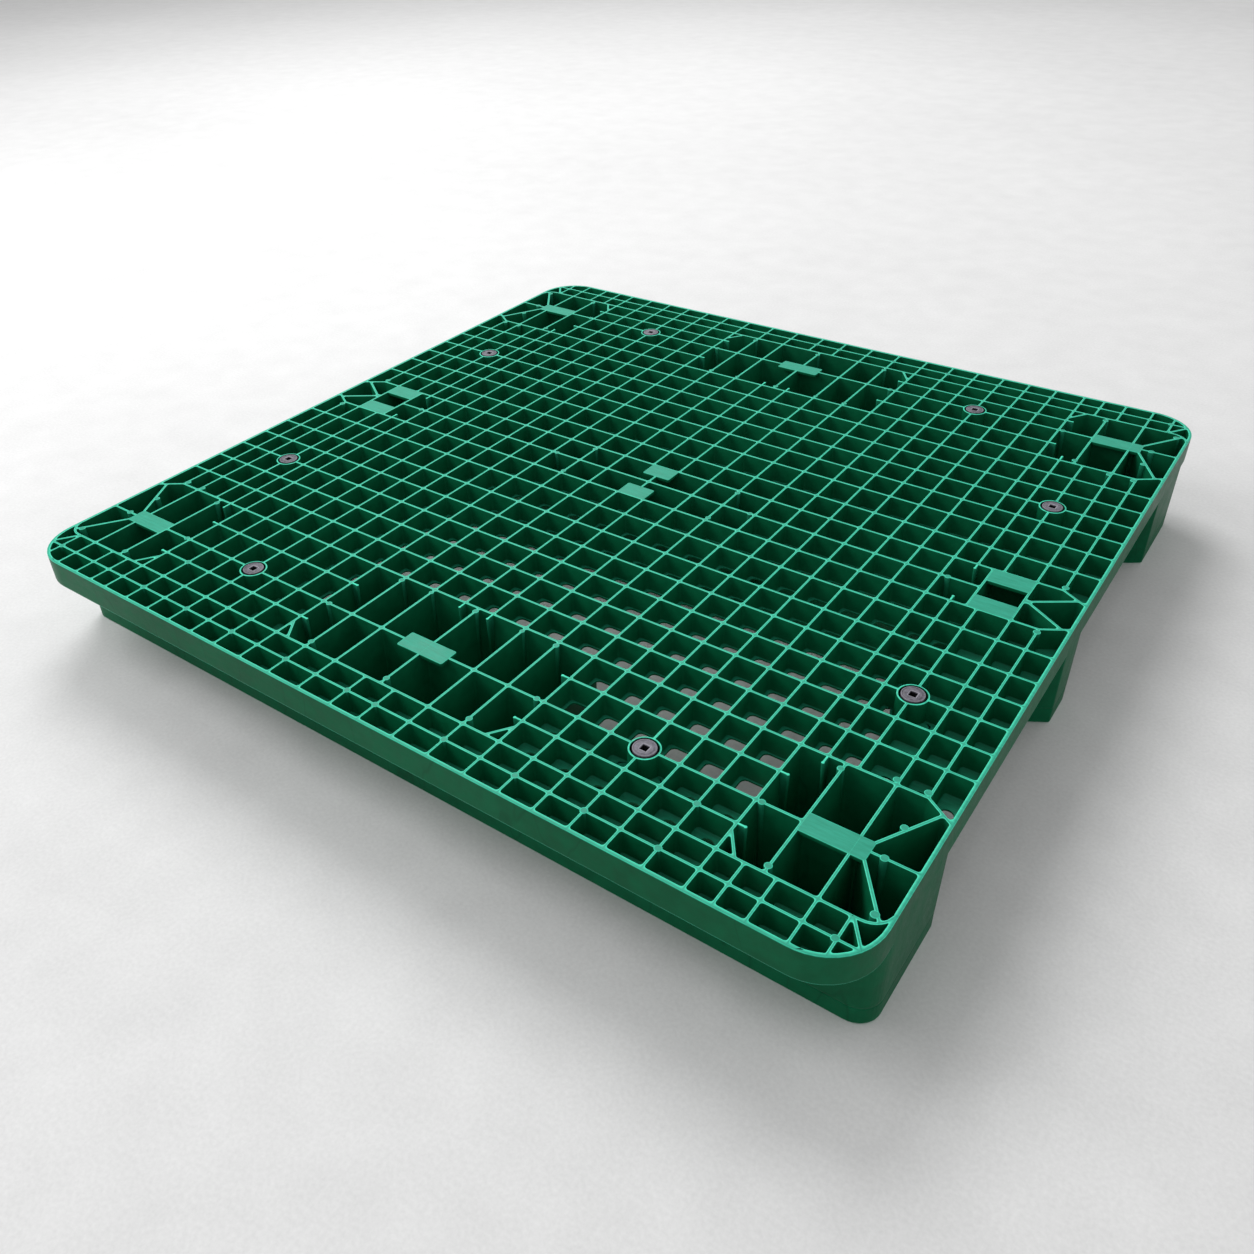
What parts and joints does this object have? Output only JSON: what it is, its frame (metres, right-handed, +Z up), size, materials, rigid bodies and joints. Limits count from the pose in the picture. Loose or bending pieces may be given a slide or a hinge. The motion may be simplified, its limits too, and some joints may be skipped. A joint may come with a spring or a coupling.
{
  "type": "plastic pallet",
  "caption": "Square open-grid plastic pallet on parallel runners, with four-way fork entry under the deck and rubber anti-slip plugs.",
  "frame": {"origin": "on the ground, below the middle of the deck", "axes": "+Z up, +X along the runners, +Y across them"},
  "size_m": [1.15, 1.15, 0.1358],
  "materials": {
    "deck_green": "moulded polyethylene, satin",
    "leg_green": "moulded polyethylene, satin",
    "runner_green": "moulded polyethylene, satin",
    "plug_rubber": "grey rubber with a ring relief"
  },
  "bodies": {
    "root": {"deck_grid": "deck_green", "leg_front_left": "leg_green", "leg_front_middle": "leg_green", "leg_front_right": "leg_green", "leg_centre_left": "leg_green", "leg_centre_middle": "leg_green", "leg_centre_right": "leg_green", "leg_rear_left": "leg_green", "leg_rear_middle": "leg_green", "leg_rear_right": "leg_green", "runner_front": "runner_green", "runner_centre": "runner_green", "runner_rear": "runner_green", "antislip_plug_1": "plug_rubber", "antislip_plug_2": "plug_rubber", "antislip_plug_3": "plug_rubber", "antislip_plug_4": "plug_rubber", "antislip_plug_5": "plug_rubber", "antislip_plug_6": "plug_rubber", "antislip_plug_7": "plug_rubber", "antislip_plug_8": "plug_rubber"}
  },
  "joints": []
}
